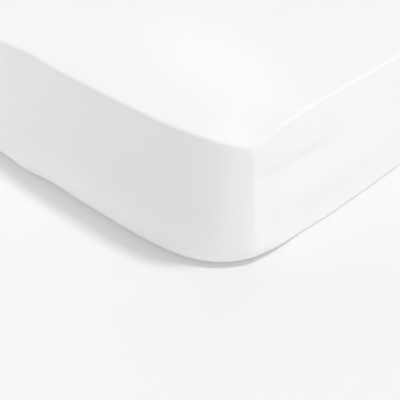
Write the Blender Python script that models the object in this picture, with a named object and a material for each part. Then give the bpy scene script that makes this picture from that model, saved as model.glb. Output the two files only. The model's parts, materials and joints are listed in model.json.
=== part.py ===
"""Fitted sheet drawn over a plain single mattress, in metres, +Z up.

The origin is the middle of the underside. The width runs along X and the length along Y.
The sheet is one cloth: a flat top, a wall round the four sides, a seam down each corner, and a
band tucked under the mattress that ends in an elastic hem. The mattress fills it.

Every ring of points runs round the same outline, a rectangle whose corners are superellipses.
A ring is set by how far it lies in from that outline and how high it is. The seams, the droop of
the corners and the waves of the edges then move its points.
"""

import bisect
import math
from collections import namedtuple

import bmesh
import bpy
from mathutils import Vector

# Size over the cloth.
WIDTH = 0.90
LENGTH = 2.00
HEIGHT = 0.20

# The outline's corners start to turn this far from where two sides would meet.
CORNER_REACH_X = 0.300
CORNER_REACH_Y = 0.290
CORNER_POWER = 5.0

# The cloth, and the space that it keeps from the mattress.
CLOTH = 0.002
TOP_GAP = 0.0004
SIDE_GAP = 0.002

# The wall's section: a tight roll at the top, a slightly hollow side that leans in towards the top
# but stays upright at the corners, and a softer roll at the floor. The mattress is rounder than the
# cloth at the top.
TOP_ROLL = 0.009
TOP_LEAN = 0.0055
FLOOR_ROLL = 0.020
MATTRESS_ROLL = 0.014
ROLL_STEPS = 4
WALL_STEPS = 4
WALL_HOLLOW = 0.002

# The top droops towards each seam: by how much, how far that spreads along the edge, where it
# starts on the top, and how far down the wall it ends.
DROOP = 0.0125
DROOP_SPREAD = 0.032
DROOP_INSET = 0.070
DROOP_DEPTH = 0.080
DROOP_RINGS = (0.070, 0.045, 0.027)

# The band under the mattress, and the hem that draws it in round the corners.
TUCK = 0.10
HEM_WIDTH = 0.014
HEM_HEIGHT = 0.004
HEM_REACH = 0.320
HEM_POWER = 2.6
TUCK_SHARES = (0.30, 0.62)

# A seam's section along the outline. Its crest is a crease. On the corner's side a narrow flat of
# turned-in cloth lies against it, and on the other it falls away to a shallow dip.
SeamPoint = namedtuple("SeamPoint", "away rise")
SEAM_SECTION = (
    SeamPoint(away=-0.0140, rise=0.0),
    SeamPoint(away=-0.0080, rise=0.0008),
    SeamPoint(away=-0.0012, rise=0.0006),
    SeamPoint(away=0.0000, rise=0.0022),
    SeamPoint(away=0.0050, rise=0.0019),
    SeamPoint(away=0.0115, rise=0.0003),
    SeamPoint(away=0.0200, rise=-0.0004),
    SeamPoint(away=0.0320, rise=0.0),
)
SEAM_LEAN_REACH = 0.060

# Each corner's end and side, and how far its seam is from the corner's middle towards the long side.
Corner = namedtuple("Corner", "end side seam_at_top seam_at_floor")
CORNERS = (
    Corner("foot", "right", 0.039, 0.047),
    Corner("head", "right", 0.031, 0.024),
    Corner("head", "left", 0.035, 0.043),
    Corner("foot", "left", 0.029, 0.036),
)
SIGNS = {"foot": -1, "head": 1, "left": -1, "right": 1}

# Where an edge swings in, or out if negative: its middle along the side, its half length, and by how much.
EdgeWave = namedtuple("EdgeWave", "level side along half_length inset")
EDGE_WAVES = (
    EdgeWave("floor", "foot", 0.115, 0.055, 0.0015),
    EdgeWave("floor", "foot", 0.050, 0.050, -0.0040),
    EdgeWave("floor", "foot", -0.08, 0.07, 0.004),
    EdgeWave("floor", "right", -0.84, 0.075, 0.002),
    EdgeWave("floor", "right", -0.55, 0.20, 0.003),
    EdgeWave("floor", "right", -0.08, 0.18, 0.002),
    EdgeWave("floor", "right", 0.26, 0.14, -0.002),
    EdgeWave("floor", "right", 0.55, 0.12, 0.004),
    EdgeWave("floor", "head", 0.07, 0.08, 0.004),
    EdgeWave("floor", "head", -0.10, 0.06, -0.004),
    EdgeWave("floor", "left", 0.52, 0.14, 0.003),
    EdgeWave("floor", "left", -0.05, 0.32, 0.003),
    EdgeWave("floor", "left", -0.56, 0.12, -0.002),
    EdgeWave("top", "foot", 0.07, 0.07, 0.005),
    EdgeWave("top", "foot", -0.12, 0.08, 0.002),
    EdgeWave("top", "right", -0.50, 0.16, 0.002),
    EdgeWave("top", "right", 0.20, 0.36, 0.003),
    EdgeWave("top", "head", -0.02, 0.10, 0.003),
    EdgeWave("top", "left", 0.10, 0.34, 0.003),
    EdgeWave("top", "left", -0.55, 0.12, 0.002),
)

# Columns of points: distances from a corner's middle, and the longest step along a side after them.
CORNER_COLUMNS = (0.015, 0.030, 0.046, 0.064, 0.086, 0.115, 0.155, 0.205, 0.255, 0.305, 0.355, 0.405)
SIDE_STEP = 0.14
COLUMN_SPACE = 0.006

TABLE_STEPS = 240

COLOURS = {
    "fitted_sheet": (0.93, 0.93, 0.925, 1.0),
    "mattress": (0.80, 0.79, 0.76, 1.0),
}

Ring = namedtuple("Ring", "inset height tuck", defaults=(None,))
Shape = namedtuple("Shape", "half_x half_y reach_x reach_y power")
Place = namedtuple("Place", "x y out_x out_y share")

OUTLINE = Shape(WIDTH / 2, LENGTH / 2, CORNER_REACH_X, CORNER_REACH_Y, CORNER_POWER)
HEM_LINE = Shape(WIDTH / 2 - TUCK, LENGTH / 2 - TUCK, HEM_REACH, HEM_REACH, HEM_POWER)


def clamp(value):
    """The value, held between 0 and 1."""
    return min(max(value, 0.0), 1.0)


def place_at(shape, corner, share):
    """A point of a rounded rectangle and its outward direction, in one corner's quarter.

    A quarter runs from the middle of a short side to the middle of a long side. A share from
    0 to 1 is the short side's straight part, 1 to 2 the corner and 2 to 3 the long side's.
    """
    if share < 1:
        x, y = share * (shape.half_x - shape.reach_x), shape.half_y
        out_x, out_y = 0.0, 1.0
    elif share > 2:
        x, y = shape.half_x, (3 - share) * (shape.half_y - shape.reach_y)
        out_x, out_y = 1.0, 0.0
    else:
        turn = share - 1
        size = ((1 - turn) ** shape.power + turn**shape.power) ** (1 / shape.power)
        over_x, over_y = turn / size, (1 - turn) / size
        x = shape.half_x - shape.reach_x * (1 - over_x)
        y = shape.half_y - shape.reach_y * (1 - over_y)
        out_x = over_x ** (shape.power - 1) / shape.reach_x
        out_y = over_y ** (shape.power - 1) / shape.reach_y
    size = math.hypot(out_x, out_y)
    sign_x, sign_y = SIGNS[corner.side], SIGNS[corner.end]
    return Place(sign_x * x, sign_y * y, sign_x * out_x / size, sign_y * out_y / size, share)


def measured_quarter():
    """Shares along a quarter of the outline, with the distance of each from the corner's middle."""
    shares = [3 * step / TABLE_STEPS for step in range(TABLE_STEPS + 1)]
    places = [place_at(OUTLINE, CORNERS[0], share) for share in shares]
    run = [0.0]
    for before, after in zip(places, places[1:]):
        run.append(run[-1] + math.dist(before[:2], after[:2]))
    middle = run[TABLE_STEPS // 2]
    return shares, [length - middle for length in run]


SHARES, DISTANCES = measured_quarter()


def place_on_outline(corner, distance):
    """The outline's point at a distance from a corner's middle, positive towards the long side."""
    after = min(max(bisect.bisect(DISTANCES, distance), 1), TABLE_STEPS)
    before = after - 1
    part = clamp((distance - DISTANCES[before]) / (DISTANCES[after] - DISTANCES[before]))
    return place_at(OUTLINE, corner, SHARES[before] + part * (SHARES[after] - SHARES[before]))


def seam_middle(corner):
    """How far the seam is from the corner's middle, halfway up."""
    return (corner.seam_at_top + corner.seam_at_floor) / 2


def side_columns(start, end):
    """Evenly spaced distances after start, up to end."""
    steps = max(1, math.ceil((end - start) / SIDE_STEP))
    return [start + (end - start) * (step + 1) / steps for step in range(steps)]


def quarter_columns(corner):
    """The distances of a quarter's columns from its corner's middle, halfway up the wall."""
    at_seam = [seam_middle(corner) + point.away for point in SEAM_SECTION]
    low, high = at_seam[0] - COLUMN_SPACE, at_seam[-1] + COLUMN_SPACE
    both_ways = {sign * distance for distance in (0.0, *CORNER_COLUMNS) for sign in (-1, 1)}
    bend = sorted([distance for distance in both_ways if not low < distance < high] + at_seam)
    before = [-distance for distance in side_columns(-bend[0], -DISTANCES[0])][::-1]
    after = side_columns(bend[-1], DISTANCES[-1])
    return before + bend + after


def columns():
    """Every column round the outline, as (corner, distance), anticlockwise seen from above."""
    found = []
    for corner in CORNERS:
        distances = quarter_columns(corner)
        anticlockwise = SIGNS[corner.side] * SIGNS[corner.end] < 0
        in_order = distances if anticlockwise else distances[::-1]
        found += [(corner, distance) for distance in in_order[:-1]]
    return found


def lean_with_seam(corner, distance, height):
    """A column's distance from the corner's middle at a height: near the seam it leans as the seam does."""
    seam = corner.seam_at_floor + clamp(height / HEIGHT) * (corner.seam_at_top - corner.seam_at_floor)
    near = clamp(1 - abs(distance - seam_middle(corner)) / SEAM_LEAN_REACH)
    return distance + near * (seam - seam_middle(corner))


def seam_rise(corner, distance, height):
    """How far the seam lifts a point outwards. It fades on the top roll and at the floor."""
    away = distance - seam_middle(corner)
    share = min(clamp((HEIGHT - height) / TOP_ROLL), clamp(height / FLOOR_ROLL))
    for before, after in zip(SEAM_SECTION, SEAM_SECTION[1:]):
        if before.away <= away <= after.away:
            part = (away - before.away) / (after.away - before.away)
            return share * (before.rise + part * (after.rise - before.rise))
    return 0.0


def lean_in(place, height):
    """How far the wall leans in at a height. It stands upright where the outline faces a corner."""
    up = clamp((height - FLOOR_ROLL) / (HEIGHT - TOP_ROLL - FLOOR_ROLL))
    return TOP_LEAN * up * (1 - 2 * abs(place.out_x * place.out_y))


def droop(corner, distance, ring):
    """How far a point of the top or of the upper wall sinks near a seam."""
    away = (distance - seam_middle(corner)) / DROOP_SPREAD
    on_top = clamp((DROOP_INSET - ring.inset) / (DROOP_INSET - TOP_ROLL))
    on_wall = clamp(1 - (HEIGHT - TOP_ROLL - ring.height) / (DROOP_DEPTH - TOP_ROLL))
    return DROOP * math.exp(-(away**2)) * on_top**1.5 * on_wall**1.5


def edge_wave(place, height):
    """How far the waves of the edges move a point of the wall in."""
    facing = {"foot": -place.out_y, "head": place.out_y, "right": place.out_x, "left": -place.out_x}
    total = 0.0
    for wave in EDGE_WAVES:
        along = place.x if wave.side in ("foot", "head") else place.y
        away = (along - wave.along) / wave.half_length
        near = clamp(2 * height / HEIGHT - 1) if wave.level == "top" else clamp(1 - 2 * height / HEIGHT)
        if facing[wave.side] > 0.95 and abs(away) < 1:
            total += wave.inset * math.cos(away * math.pi / 2) ** 2 * near**1.5
    return total


def top_roll(inset, down, radius):
    """Rings of a top roll, from the flat top down to the wall."""
    turns = [math.pi / 2 * step / ROLL_STEPS for step in range(ROLL_STEPS + 1)]
    centre_in, centre_up = inset + radius, HEIGHT - down - radius
    return [Ring(centre_in - radius * math.sin(turn), centre_up + radius * math.cos(turn)) for turn in turns]


def wall(inset):
    """Rings of the hollow wall between the two rolls, from the top down."""
    low, high = FLOOR_ROLL, HEIGHT - TOP_ROLL
    parts = [step / WALL_STEPS for step in range(1, WALL_STEPS)]
    return [Ring(inset + WALL_HOLLOW * (1 - (2 * part - 1) ** 2), high - part * (high - low)) for part in parts]


def floor_roll(inset, up):
    """Rings of a floor roll, from the wall down to the underside."""
    turns = [math.pi / 2 * step / ROLL_STEPS for step in range(ROLL_STEPS + 1)]
    along, down = FLOOR_ROLL - inset, FLOOR_ROLL - up
    return [Ring(FLOOR_ROLL - along * math.cos(turn), FLOOR_ROLL - down * math.sin(turn)) for turn in turns]


def skin(inset, down, up, radius):
    """Rings of a surface inside the cloth's outside: so far in, below its top and above its underside."""
    on_top = [Ring(from_edge, HEIGHT - down) for from_edge in DROOP_RINGS]
    return on_top + top_roll(inset, down, radius) + wall(inset) + floor_roll(inset, up)


def tuck(height, shares):
    """Rings on the band under the mattress, from the floor roll inwards."""
    return [Ring(FLOOR_ROLL, height, share) for share in shares]


def sheet_rings():
    """Rings of the cloth: down its outside, under, round the hem and back up its inside."""
    hem_start = 1 - HEM_WIDTH / TUCK
    outside = skin(0.0, 0.0, 0.0, TOP_ROLL) + tuck(0.0, (*TUCK_SHARES, hem_start, 1.0))
    inside = skin(CLOTH, CLOTH, CLOTH, TOP_ROLL - CLOTH) + tuck(CLOTH, (*TUCK_SHARES, hem_start - CLOTH / TUCK))
    return outside + tuck(HEM_HEIGHT, (1.0, hem_start)) + inside[::-1]


def mattress_rings():
    """Rings of the mattress, from its top down to its flat underside."""
    return skin(CLOTH + SIDE_GAP, CLOTH + TOP_GAP, HEM_HEIGHT + TOP_GAP, MATTRESS_ROLL)


def ring_points(ring, with_seam):
    """The points of a ring, one for each column."""
    points = []
    for corner, distance in columns():
        place = place_on_outline(corner, lean_with_seam(corner, distance, ring.height))
        inset = ring.inset + lean_in(place, ring.height) + edge_wave(place, ring.height)
        if with_seam:
            inset -= seam_rise(corner, distance, ring.height)
        x, y = place.x - inset * place.out_x, place.y - inset * place.out_y
        if ring.tuck is not None:
            hem = place_at(HEM_LINE, corner, place.share)
            x += ring.tuck * (hem.x - x)
            y += ring.tuck * (hem.y - y)
        points.append(Vector((x, y, ring.height - droop(corner, distance, ring))))
    return points


def ringed_solid(name, rings, with_seam):
    """A closed solid skinned over rings of points, with a flat cap on the first ring and on the last.

    Each quad is split along the same diagonal on the way down and on the way back up inside, so that
    two skins with the same columns keep their distance.
    """
    mesh = bpy.data.meshes.new(name)
    build = bmesh.new()
    loops = [[build.verts.new(point) for point in ring_points(ring, with_seam)] for ring in rings]
    way_back = rings.index(min(rings, key=lambda ring: (ring.height, -(ring.tuck or 0.0))))
    for number, (first, second) in enumerate(zip(loops, loops[1:])):
        for i in range(len(first)):
            after = (i + 1) % len(first)
            quad = [first[i], second[i], second[after], first[after]]
            if number >= way_back:
                quad = quad[1:] + quad[:1]
            build.faces.new(quad[:3])
            build.faces.new((quad[0], quad[2], quad[3]))
    build.faces.new(loops[0])
    build.faces.new(loops[-1][::-1])
    build.to_mesh(mesh)
    build.free()
    mesh.shade_smooth()
    mesh.set_sharp_from_angle(angle=math.radians(40))
    solid = bpy.data.objects.new(name, mesh)
    bpy.context.scene.collection.objects.link(solid)
    return solid


def cloth_material(name):
    """A plain woven finish in the named colour."""
    material = bpy.data.materials.new(name)
    material.use_nodes = True
    shader = material.node_tree.nodes["Principled BSDF"]
    shader.inputs["Base Color"].default_value = COLOURS[name]
    shader.inputs["Roughness"].default_value = 0.9
    shader.inputs["Metallic"].default_value = 0.0
    return material


def clear_scene():
    """Removes the objects that Blender starts with."""
    for found in list(bpy.data.objects):
        bpy.data.objects.remove(found)


def main():
    """Builds the sheet and the mattress inside it."""
    clear_scene()
    for name, rings, with_seam in (
        ("fitted_sheet", sheet_rings(), True),
        ("mattress", mattress_rings(), False),
    ):
        solid = ringed_solid(name, rings, with_seam)
        solid.data.materials.append(cloth_material(name))


main()
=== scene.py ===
"""The looks of a fitted sheet drawn over a single mattress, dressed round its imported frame.

Lengths are metres and +Z is up. The foot of the bed is at -Y, and the camera looks at the corner
between the foot and the right side. The cloth follows the part's own rules: rings of points run
round one outline, each so far in from it and so high, and the seams, the droop of the corners and
the waves of the edges then move them. The creases, the gathers of the hem and the weave are added here.
"""

from __future__ import annotations

import json
import logging
import math
from dataclasses import dataclass, field
from enum import Enum
from functools import cache
from typing import ClassVar

import bpy
import numpy as np
from mathutils import Matrix, Vector

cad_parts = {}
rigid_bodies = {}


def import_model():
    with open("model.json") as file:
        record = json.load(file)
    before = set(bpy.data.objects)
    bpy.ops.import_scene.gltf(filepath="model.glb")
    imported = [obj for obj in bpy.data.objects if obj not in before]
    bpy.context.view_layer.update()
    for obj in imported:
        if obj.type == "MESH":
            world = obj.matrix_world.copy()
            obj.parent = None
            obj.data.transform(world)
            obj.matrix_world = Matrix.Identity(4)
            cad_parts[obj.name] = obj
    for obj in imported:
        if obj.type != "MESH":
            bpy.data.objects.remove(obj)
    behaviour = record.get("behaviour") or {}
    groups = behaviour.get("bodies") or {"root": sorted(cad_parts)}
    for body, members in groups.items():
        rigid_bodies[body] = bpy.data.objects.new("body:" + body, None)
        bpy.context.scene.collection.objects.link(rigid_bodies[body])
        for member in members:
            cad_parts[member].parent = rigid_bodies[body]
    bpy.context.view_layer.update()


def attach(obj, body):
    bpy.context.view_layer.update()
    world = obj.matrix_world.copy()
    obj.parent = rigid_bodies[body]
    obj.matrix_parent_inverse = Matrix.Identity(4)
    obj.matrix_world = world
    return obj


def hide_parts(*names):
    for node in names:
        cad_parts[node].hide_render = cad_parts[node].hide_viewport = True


LOG = logging.getLogger("fitted_sheet")
BODY = "root"
MILLIMETRE = 0.001

Reals = float | np.ndarray


class Side(Enum):
    """A side of the bed, by its outward direction in plan."""

    FOOT = (0, -1)
    HEAD = (0, 1)
    LEFT = (-1, 0)
    RIGHT = (1, 0)


class Level(Enum):
    """An edge of the wall: the one at the top or the one at the floor."""

    TOP = "top"
    FLOOR = "floor"


def smooth(share: Reals) -> Reals:
    """Eases a share that is held between 0 and 1, with level ends."""
    held = np.clip(share, 0.0, 1.0)
    return held * held * (3 - 2 * held)


def runs_along(x: np.ndarray, y: np.ndarray) -> np.ndarray:
    """How far each point of a line is from its first, along it."""
    return np.concatenate([[0.0], np.cumsum(np.hypot(np.diff(x), np.diff(y)))])


@dataclass(frozen=True)
class Outline:
    """A rectangle whose corners are superellipses, centred on the origin."""

    half_x: float
    half_y: float
    reach_x: float
    reach_y: float
    power: float

    def quarter(self, share: np.ndarray) -> tuple[np.ndarray, np.ndarray, np.ndarray, np.ndarray]:
        """Finds points of the quarter where X and Y are positive.

        Args:
            share: 0 to 1 on the short side's straight part, 1 to 2 round the corner, 2 to 3 on
                the long side's.

        Returns:
            The points' X and Y, and the X and Y of their outward directions.
        """
        turn = np.clip(share - 1, 0.0, 1.0)
        size = ((1 - turn) ** self.power + turn**self.power) ** (1 / self.power)
        over_x, over_y = turn / size, (1 - turn) / size
        x = self.half_x - self.reach_x * (1 - over_x)
        y = self.half_y - self.reach_y * (1 - over_y)
        x = np.where(share < 1, share * (self.half_x - self.reach_x), x)
        y = np.where(share > 2, (3 - share) * (self.half_y - self.reach_y), y)
        out_x = over_x ** (self.power - 1) / self.reach_x
        out_y = over_y ** (self.power - 1) / self.reach_y
        length = np.hypot(out_x, out_y)
        return x, y, out_x / length, out_y / length


@dataclass(frozen=True)
class Corner:
    """A corner of the bed and the seam down it.

    The seam's places are distances along the outline from the corner's middle, positive towards
    the long side.
    """

    sign_x: int
    sign_y: int
    seam_at_top: float
    seam_at_floor: float

    @property
    def seam_middle(self) -> float:
        """How far the seam is from the corner's middle, halfway up."""
        return (self.seam_at_top + self.seam_at_floor) / 2

    @property
    def forward(self) -> bool:
        """Whether distances grow anticlockwise here, seen from above."""
        return self.sign_x * self.sign_y < 0


@dataclass(frozen=True)
class EdgeWave:
    """Where an edge swings in, or out if negative."""

    level: Level
    side: Side
    along: float
    half_length: float
    inset: float


@dataclass(frozen=True)
class Fold:
    """A soft trough drawn on a flat map of the cloth, or a ridge if its depth is negative.

    The side that lies to the right of the way from its start to its end is trail times as wide. It
    has its full depth over the full share of its length, in the middle, and dies away over the
    fading share, half of it at each end.
    """

    full_share: ClassVar[float] = 0.4
    fading_share: ClassVar[float] = 0.8
    start: tuple[float, float]
    end: tuple[float, float]
    width: float
    depth: float
    trail: float = 1.0

    def depth_at(self, across: np.ndarray, up: np.ndarray) -> np.ndarray:
        """Finds how deep the fold is at some points of its map.

        Args:
            across: The points' first coordinates.
            up: Their second coordinates.

        Returns:
            The depth at each point, which dies away over the fold's width and beyond its ends.
        """
        run_across, run_up = self.end[0] - self.start[0], self.end[1] - self.start[1]
        length = math.hypot(run_across, run_up)
        along = ((across - self.start[0]) * run_across + (up - self.start[1]) * run_up) / length**2
        beside = ((across - self.start[0]) * run_up - (up - self.start[1]) * run_across) / length
        width = np.where(beside > 0, self.width * self.trail, self.width)
        past = np.maximum(np.abs(2 * along - 1) - self.full_share, 0.0) / self.fading_share
        return self.depth * np.exp(-((beside / width) ** 2)) * smooth(1 - past)


@dataclass(frozen=True)
class Ring:
    """A ring of points round the outline.

    Its inset is how far it lies in from the outline, its path how far it is from the top's edge
    along the cloth, and its tuck how far it has gone, of 1, from the floor roll to the hem line. All
    but the tuck may differ from column to column.
    """

    inset: Reals
    height: Reals
    path: Reals = 0.0
    tuck: float = 0.0

    def towards(self, other: Ring, share: np.ndarray) -> Ring:
        """The ring that has gone a share of the way to another, column by column."""
        pairs = ((self.inset, other.inset), (self.height, other.height), (self.path, other.path))
        return Ring(*(start + share * (end - start) for start, end in pairs))


@dataclass(frozen=True)
class Columns:
    """Columns of points round the outline, anticlockwise from the foot's middle."""

    corner: np.ndarray
    distance: np.ndarray
    run: np.ndarray

    def __len__(self) -> int:
        """The number of columns."""
        return len(self.run)


@dataclass(frozen=True)
class Clearance:
    """How far a skin lies inside the bed's outside: at its sides, its top and the floor."""

    side: float = 0.0
    top: float = 0.0
    floor: float = 0.0


@dataclass(frozen=True)
class Steps:
    """How many steps a section takes over the top's border, round each roll and down the wall."""

    border: int
    roll: int
    wall: int


@dataclass(frozen=True)
class WallSection:
    """The section of a side: the radii of its rolls, and how far its foot is drawn in.

    Its rings lie closest where the share dense_at of the wall is above them.
    """

    top_roll: float
    floor_roll: float
    foot_in: float = 0.0
    foot_height: float = 0.085
    hollow: float = 0.002
    border_spacing: float = 0.8
    dense_at: float = 0.31
    denser: float = 0.48

    def rings(self, bed: BedShape, clear: Clearance, steps: Steps) -> list[Ring]:
        """Lays rings from the top's border over the edge, down the wall and round to the floor.

        Args:
            bed: The bed, whose height they keep to.
            clear: How far inside the outside they lie.
            steps: The number of steps.

        Returns:
            The rings, from the top down.
        """
        top, edge = bed.height - clear.top, clear.side + self.top_roll
        spaces = [(step / steps.border) ** self.border_spacing for step in range(steps.border)]
        rings = [Ring(bed.droop_inset + space * (edge - bed.droop_inset), top) for space in spaces]
        turns = [math.pi / 2 * step / steps.roll for step in range(steps.roll + 1)]
        for turn in turns:
            inset, drop = edge - self.top_roll * math.sin(turn), self.top_roll * (1 - math.cos(turn))
            rings.append(Ring(inset, top - drop, self.top_roll * turn))
        path, rise = rings[-1].path, top - self.top_roll - self.floor_roll
        start = math.sin(2 * math.pi * self.dense_at)
        for step in range(1, steps.wall):
            share = step / steps.wall
            bunch = (math.sin(2 * math.pi * (share - self.dense_at)) + start) / (2 * math.pi)
            part = share - self.denser * bunch
            height = top - self.top_roll - part * rise
            low = (self.foot_height - height) / (self.foot_height - self.floor_roll)
            inset = clear.side + self.foot_in * float(smooth(low)) + self.hollow * (1 - (2 * part - 1) ** 2)
            rings.append(Ring(inset, height, path + part * rise))
        for turn in turns:
            inset = self.foot_in + self.floor_roll - (self.floor_roll - clear.side) * math.cos(turn)
            height = self.floor_roll - (self.floor_roll - clear.floor) * math.sin(turn)
            rings.append(Ring(inset, height, path + rise + self.floor_roll * turn))
        return rings


@dataclass(frozen=True)
class BedShape:
    """The covered mattress's outside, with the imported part's sizes and closer-drawn edges."""

    width: float = 0.90
    length: float = 2.00
    height: float = 0.20
    corner_reach_x: float = 0.300
    corner_reach_y: float = 0.290
    corner_power: float = 5.0
    short_side: WallSection = WallSection(top_roll=0.0045, floor_roll=0.020)
    long_side: WallSection = WallSection(top_roll=0.0045, floor_roll=0.005, foot_in=0.0085)
    side_change: tuple[float, float] = (0.040, 0.150)
    top_lean: float = 0.0105
    droop: float = 0.0155
    droop_spread: float = 0.046
    droop_inset: float = 0.070
    droop_depth: float = 0.080
    droop_power: float = 1.5
    seam_lean_reach: float = 0.060
    spine_share: float = 0.62
    tuck: float = 0.10
    hem_reach: float = 0.320
    hem_power: float = 2.6
    corners: tuple[Corner, ...] = (
        Corner(1, -1, 0.040, 0.045),
        Corner(1, 1, 0.031, 0.024),
        Corner(-1, 1, 0.035, 0.043),
        Corner(-1, -1, 0.029, 0.036),
    )
    waves: tuple[EdgeWave, ...] = (
        EdgeWave(Level.FLOOR, Side.FOOT, 0.115, 0.055, 0.0015),
        EdgeWave(Level.FLOOR, Side.FOOT, 0.050, 0.050, -0.0040),
        EdgeWave(Level.FLOOR, Side.FOOT, -0.08, 0.07, 0.004),
        EdgeWave(Level.FLOOR, Side.RIGHT, -0.84, 0.075, 0.002),
        EdgeWave(Level.FLOOR, Side.RIGHT, -0.55, 0.20, 0.003),
        EdgeWave(Level.FLOOR, Side.RIGHT, -0.08, 0.18, 0.002),
        EdgeWave(Level.FLOOR, Side.RIGHT, 0.26, 0.14, -0.002),
        EdgeWave(Level.FLOOR, Side.RIGHT, 0.55, 0.12, 0.004),
        EdgeWave(Level.FLOOR, Side.HEAD, 0.07, 0.08, 0.004),
        EdgeWave(Level.FLOOR, Side.HEAD, -0.10, 0.06, -0.004),
        EdgeWave(Level.FLOOR, Side.LEFT, 0.52, 0.14, 0.003),
        EdgeWave(Level.FLOOR, Side.LEFT, -0.05, 0.32, 0.003),
        EdgeWave(Level.FLOOR, Side.LEFT, -0.56, 0.12, -0.002),
        EdgeWave(Level.TOP, Side.FOOT, 0.07, 0.07, 0.005),
        EdgeWave(Level.TOP, Side.FOOT, -0.12, 0.08, 0.002),
        EdgeWave(Level.TOP, Side.RIGHT, -0.50, 0.16, 0.002),
        EdgeWave(Level.TOP, Side.RIGHT, 0.20, 0.36, 0.003),
        EdgeWave(Level.TOP, Side.HEAD, -0.02, 0.10, 0.003),
        EdgeWave(Level.TOP, Side.LEFT, 0.10, 0.34, 0.003),
        EdgeWave(Level.TOP, Side.LEFT, -0.55, 0.12, 0.002),
    )
    wave_power: float = 1.5
    wave_facing: float = 0.93
    wave_facing_fade: float = 0.04
    share_count: int = 961
    shares: np.ndarray = field(init=False, repr=False)
    distances: np.ndarray = field(init=False, repr=False)

    def __post_init__(self) -> None:
        """Measures the distance from the corner's middle all along a quarter of the outline."""
        shares = np.linspace(0.0, 3.0, self.share_count)
        x, y, _, _ = self.outline.quarter(shares)
        run = runs_along(x, y)
        object.__setattr__(self, "shares", shares)
        object.__setattr__(self, "distances", run - run[len(run) // 2])

    @property
    def outline(self) -> Outline:
        """The outline of the cloth seen from above."""
        reach = (self.corner_reach_x, self.corner_reach_y)
        return Outline(self.width / 2, self.length / 2, *reach, self.corner_power)

    @property
    def hem_line(self) -> Outline:
        """The line that the hem lies on under the mattress."""
        half = (self.width / 2 - self.tuck, self.length / 2 - self.tuck)
        return Outline(*half, self.hem_reach, self.hem_reach, self.hem_power)

    @property
    def hem_runs(self) -> np.ndarray:
        """How far along the hem line each of the measured shares is."""
        x, y, _, _ = self.hem_line.quarter(self.shares)
        return runs_along(x, y)

    @property
    def quarter_run(self) -> float:
        """The length of a quarter of the outline."""
        return self.distances[-1] - self.distances[0]

    def columns(self, distances: list[np.ndarray]) -> Columns:
        """Lays columns round the outline.

        Args:
            distances: For each corner, the rising distances of its columns from the corner's
                middle, from the middle of the short side to the middle of the long one.

        Returns:
            The columns, with those that two quarters share kept once.
        """
        corner, distance, run = [], [], []
        for number, found in enumerate(distances):
            forward = self.corners[number].forward
            found = (found if forward else found[::-1])[:-1]
            from_start = found - self.distances[0] if forward else self.distances[-1] - found
            corner.append(np.full(len(found), number))
            distance.append(found)
            run.append(number * self.quarter_run + from_start)
        return Columns(np.concatenate(corner), np.concatenate(distance), np.concatenate(run))

    def even_columns(self, step: float) -> Columns:
        """Lays evenly spaced columns.

        Args:
            step: About how far apart they are.

        Returns:
            The columns.
        """
        count = round(self.quarter_run / step)
        return self.columns([np.linspace(self.distances[0], self.distances[-1], count + 1)] * 4)

    def hem_columns(self, step: float) -> Columns:
        """Lays columns that are evenly spaced where they reach the hem line.

        Args:
            step: About how far apart they are there.

        Returns:
            The columns.
        """
        runs = self.hem_runs
        even = np.linspace(0.0, runs[-1], round(runs[-1] / step) + 1)
        return self.columns([np.interp(even, runs, self.distances)] * 4)

    def section(self, columns: Columns, clear: Clearance, steps: Steps) -> list[Ring]:
        """Lays the rings of the sides, which change from the short sides' section to the long sides'.

        Args:
            columns: The columns that the rings have a point on.
            clear: How far inside the outside they lie.
            steps: The number of steps.

        Returns:
            The rings, from the top's border to the floor.
        """
        start, end = self.side_change
        share = smooth((columns.distance - start) / (end - start))
        short, long = (side.rings(self, clear, steps) for side in (self.short_side, self.long_side))
        return [ring.towards(other, share) for ring, other in zip(short, long)]

    def of_corners(self, columns: Columns, name: str) -> np.ndarray:
        """One of the corners' values, for each column."""
        return np.array([getattr(corner, name) for corner in self.corners])[columns.corner]

    def turn_round_hem(self, columns: Columns) -> np.ndarray:
        """Finds how far round the hem line columns are.

        Args:
            columns: The columns.

        Returns:
            The way to each from the foot's middle, as an angle that is a full turn all the way round.
        """
        runs = self.hem_runs
        part = np.interp(columns.distance, self.distances, runs / runs[-1])
        part = np.where(self.of_corners(columns, "forward"), part, 1 - part)
        return (columns.corner + part) * math.pi / 2

    def from_seam(self, columns: Columns) -> np.ndarray:
        """How far each column is from its corner's seam, positive towards the long side."""
        return columns.distance - self.of_corners(columns, "seam_middle")

    def lean_with_seam(self, columns: Columns, height: Reals) -> np.ndarray:
        """Leans the columns near a seam with it.

        Args:
            columns: The columns.
            height: The height of each.

        Returns:
            The columns' distances from the corners' middles at that height.
        """
        top, floor = (self.of_corners(columns, name) for name in ("seam_at_top", "seam_at_floor"))
        seam = floor + np.clip(height / self.height, 0, 1) * (top - floor)
        near = smooth(1 - np.abs(self.from_seam(columns)) / self.seam_lean_reach)
        return columns.distance + near * (seam - self.of_corners(columns, "seam_middle"))

    def lean_in(self, out_x: np.ndarray, out_y: np.ndarray, height: Reals) -> np.ndarray:
        """Finds how far the wall leans in. It stands upright where it faces a corner.

        Args:
            out_x: The X of its points' outward directions.
            out_y: The Y of them.
            height: Their heights.

        Returns:
            The inset of each point.
        """
        low, high = self.short_side.floor_roll, self.height - self.short_side.top_roll
        return self.top_lean * np.clip((height - low) / (high - low), 0, 1) * (1 - 2 * np.abs(out_x * out_y))

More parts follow.
